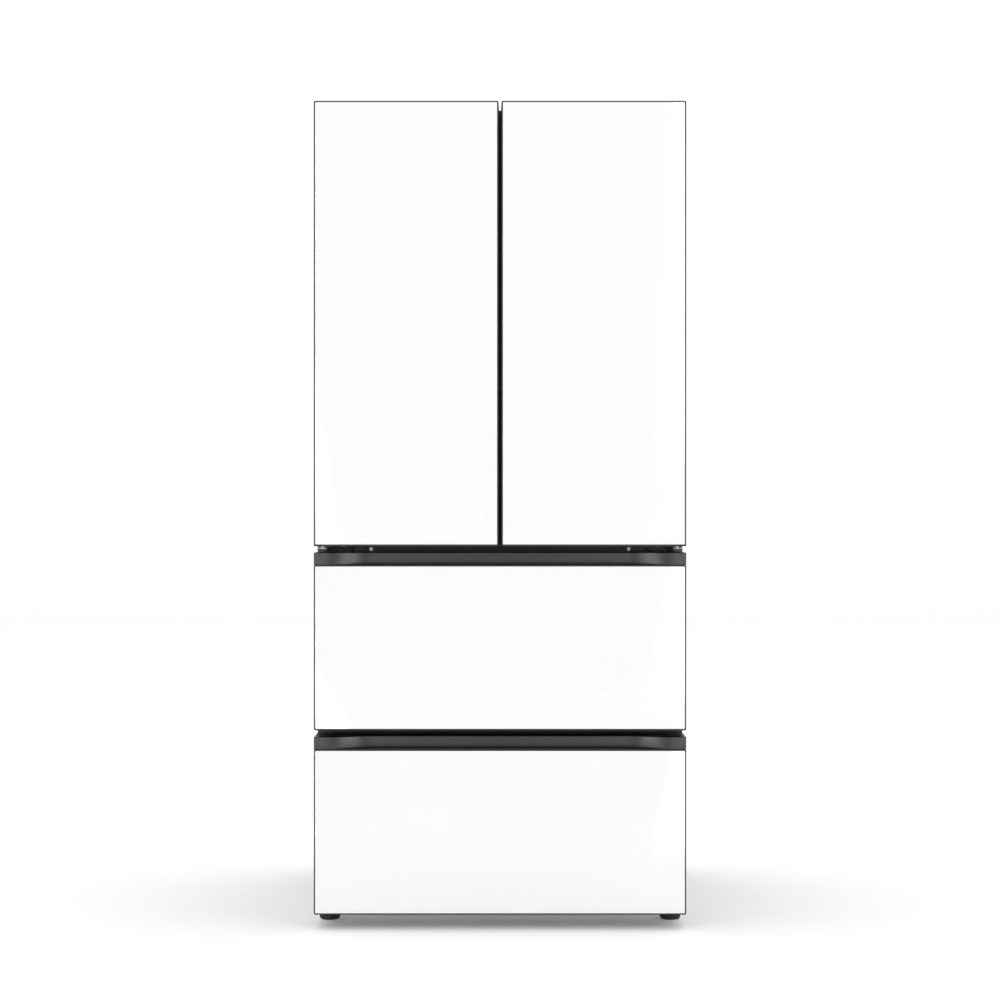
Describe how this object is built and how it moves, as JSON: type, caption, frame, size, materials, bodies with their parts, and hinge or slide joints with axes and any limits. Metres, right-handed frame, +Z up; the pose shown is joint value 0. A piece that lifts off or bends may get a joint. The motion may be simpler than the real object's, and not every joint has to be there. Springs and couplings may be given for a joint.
{
  "type": "french door refrigerator",
  "caption": "Tall free-standing refrigerator with paired white glass doors above full-width drawers opened by dark recessed handle strips.",
  "frame": {"origin": "on the floor, under the middle of the box around the object", "axes": "+Z up, the doors and drawers face -Y, +X to the right as seen from the front"},
  "size_m": [0.836, 0.74, 1.86],
  "materials": {
    "front_glass": "white back-painted glass, gloss",
    "painted_steel": "satin graphite paint",
    "zinc_steel": "zinc-coated sheet",
    "foam": "rigid foam",
    "liner_plastic": "vacuum-formed, semi-gloss",
    "black_plastic": "moulded, fine grain",
    "hinge_steel": "dark coated steel",
    "bright_steel": "plated steel",
    "shelf_glass": "clear tempered glass",
    "lamp_diffuser": "frosted diffuser",
    "clear_plastic": "clear styrene",
    "fin_aluminium": "bare fins and tube",
    "black_paint": "gloss black paint",
    "foot_plastic": "hard black plastic",
    "dark_trim": "dark anodised edge trim",
    "dark_body": "dark painted steel",
    "handle_metal": "dark warm grey anodised",
    "seal_rubber": "soft magnetic gasket"
  },
  "bodies": {
    "cabinet": {"side_panels": "painted_steel", "top_panel": "painted_steel", "back_panel": "zinc_steel", "base_frame": "zinc_steel", "cabinet_foam": "foam", "front_frame": "dark_body", "fridge_liners": "liner_plastic", "drawer_liners": "liner_plastic", "top_cover": "black_plastic", "top_hinges": "hinge_steel", "middle_hinges": "hinge_steel", "hinge_screws": "bright_steel", "glass_shelves": "shelf_glass", "air_ducts": "liner_plastic", "light_bars": "lamp_diffuser", "evaporator": "fin_aluminium", "fan_motors": "hinge_steel", "compressor": "black_paint", "condenser": "black_paint", "drain_pan": "black_plastic", "machine_cover": "zinc_steel", "power_inlet": "black_plastic", "rear_spacers": "black_plastic", "fixed_rails": "bright_steel"},
    "left_door": {"left_door_body": "dark_body", "left_door_glass": "front_glass", "left_door_trim": "dark_trim", "left_door_liner": "liner_plastic", "left_door_seal": "seal_rubber", "left_door_bins": "clear_plastic"},
    "right_door": {"right_door_body": "dark_body", "right_door_glass": "front_glass", "right_door_trim": "dark_trim", "right_door_liner": "liner_plastic", "right_door_seal": "seal_rubber", "right_door_bins": "clear_plastic"},
    "upper_drawer": {"upper_drawer_body": "dark_body", "upper_drawer_glass": "front_glass", "upper_drawer_trim": "dark_trim", "upper_drawer_handle": "handle_metal", "upper_drawer_seal": "seal_rubber", "upper_drawer_bin": "clear_plastic", "upper_drawer_rails": "bright_steel"},
    "lower_drawer": {"lower_drawer_body": "dark_body", "lower_drawer_glass": "front_glass", "lower_drawer_trim": "dark_trim", "lower_drawer_handle": "handle_metal", "lower_drawer_seal": "seal_rubber", "lower_drawer_bin": "clear_plastic", "lower_drawer_rails": "bright_steel"},
    "upper_middle_slides": {"upper_middle_rails": "bright_steel"},
    "lower_middle_slides": {"lower_middle_rails": "bright_steel"},
    "left_crisper_drawer": {"left_crisper": "clear_plastic"},
    "right_crisper_drawer": {"right_crisper": "clear_plastic"},
    "evaporator_rotor": {"evaporator_fan": "black_plastic"},
    "condenser_rotor": {"condenser_fan": "black_plastic"},
    "left_front_foot": {"left_foot": "foot_plastic"},
    "right_front_foot": {"right_foot": "foot_plastic"},
    "left_roller": {"left_rear_roller": "foot_plastic"},
    "right_roller": {"right_rear_roller": "foot_plastic"}
  },
  "joints": [
    {"name": "left_door_hinge", "type": "hinge", "parent": "cabinet", "child": "left_door", "pos_m": [-0.4, -0.338, 0.86], "axis": [0, 0, -1], "range_deg": [0, 110]},
    {"name": "right_door_hinge", "type": "hinge", "parent": "cabinet", "child": "right_door", "pos_m": [0.4, -0.338, 0.86], "axis": [0, 0, 1], "range_deg": [0, 110]},
    {"name": "upper_drawer_slide", "type": "slide", "parent": "cabinet", "child": "upper_drawer", "axis": [0, -1, 0], "range_m": [0, 0.42]},
    {"name": "lower_drawer_slide", "type": "slide", "parent": "cabinet", "child": "lower_drawer", "axis": [0, -1, 0], "range_m": [0, 0.3]},
    {"name": "upper_middle_slide", "type": "slide", "parent": "cabinet", "child": "upper_middle_slides", "axis": [0, -1, 0], "range_m": [0, 0.21]},
    {"name": "lower_middle_slide", "type": "slide", "parent": "cabinet", "child": "lower_middle_slides", "axis": [0, -1, 0], "range_m": [0, 0.15]},
    {"name": "left_crisper_slide", "type": "slide", "parent": "cabinet", "child": "left_crisper_drawer", "axis": [0, -1, 0], "range_m": [0, 0.07]},
    {"name": "right_crisper_slide", "type": "slide", "parent": "cabinet", "child": "right_crisper_drawer", "axis": [0, -1, 0], "range_m": [0, 0.07]},
    {"name": "evaporator_fan_spin", "type": "hinge", "parent": "cabinet", "child": "evaporator_rotor", "pos_m": [0, 0.241, 0.7495], "axis": [0, 1, 0], "continuous": true},
    {"name": "condenser_fan_spin", "type": "hinge", "parent": "cabinet", "child": "condenser_rotor", "pos_m": [-0.01, 0.2595, 0.138], "axis": [1, 0, 0], "continuous": true},
    {"name": "left_foot_turn", "type": "hinge", "parent": "cabinet", "child": "left_front_foot", "pos_m": [-0.392, -0.249, 0], "axis": [0, 0, 1], "continuous": true},
    {"name": "right_foot_turn", "type": "hinge", "parent": "cabinet", "child": "right_front_foot", "pos_m": [0.392, -0.249, 0], "axis": [0, 0, 1], "continuous": true},
    {"name": "left_roller_spin", "type": "hinge", "parent": "cabinet", "child": "left_roller", "pos_m": [-0.36, 0.3, 0.02], "axis": [1, 0, 0], "continuous": true},
    {"name": "right_roller_spin", "type": "hinge", "parent": "cabinet", "child": "right_roller", "pos_m": [0.36, 0.3, 0.02], "axis": [1, 0, 0], "continuous": true}
  ],
  "couplings": [
    {"joint": "upper_middle_slide", "follows": "upper_drawer_slide", "ratio": 0.5},
    {"joint": "lower_middle_slide", "follows": "lower_drawer_slide", "ratio": 0.5}
  ]
}
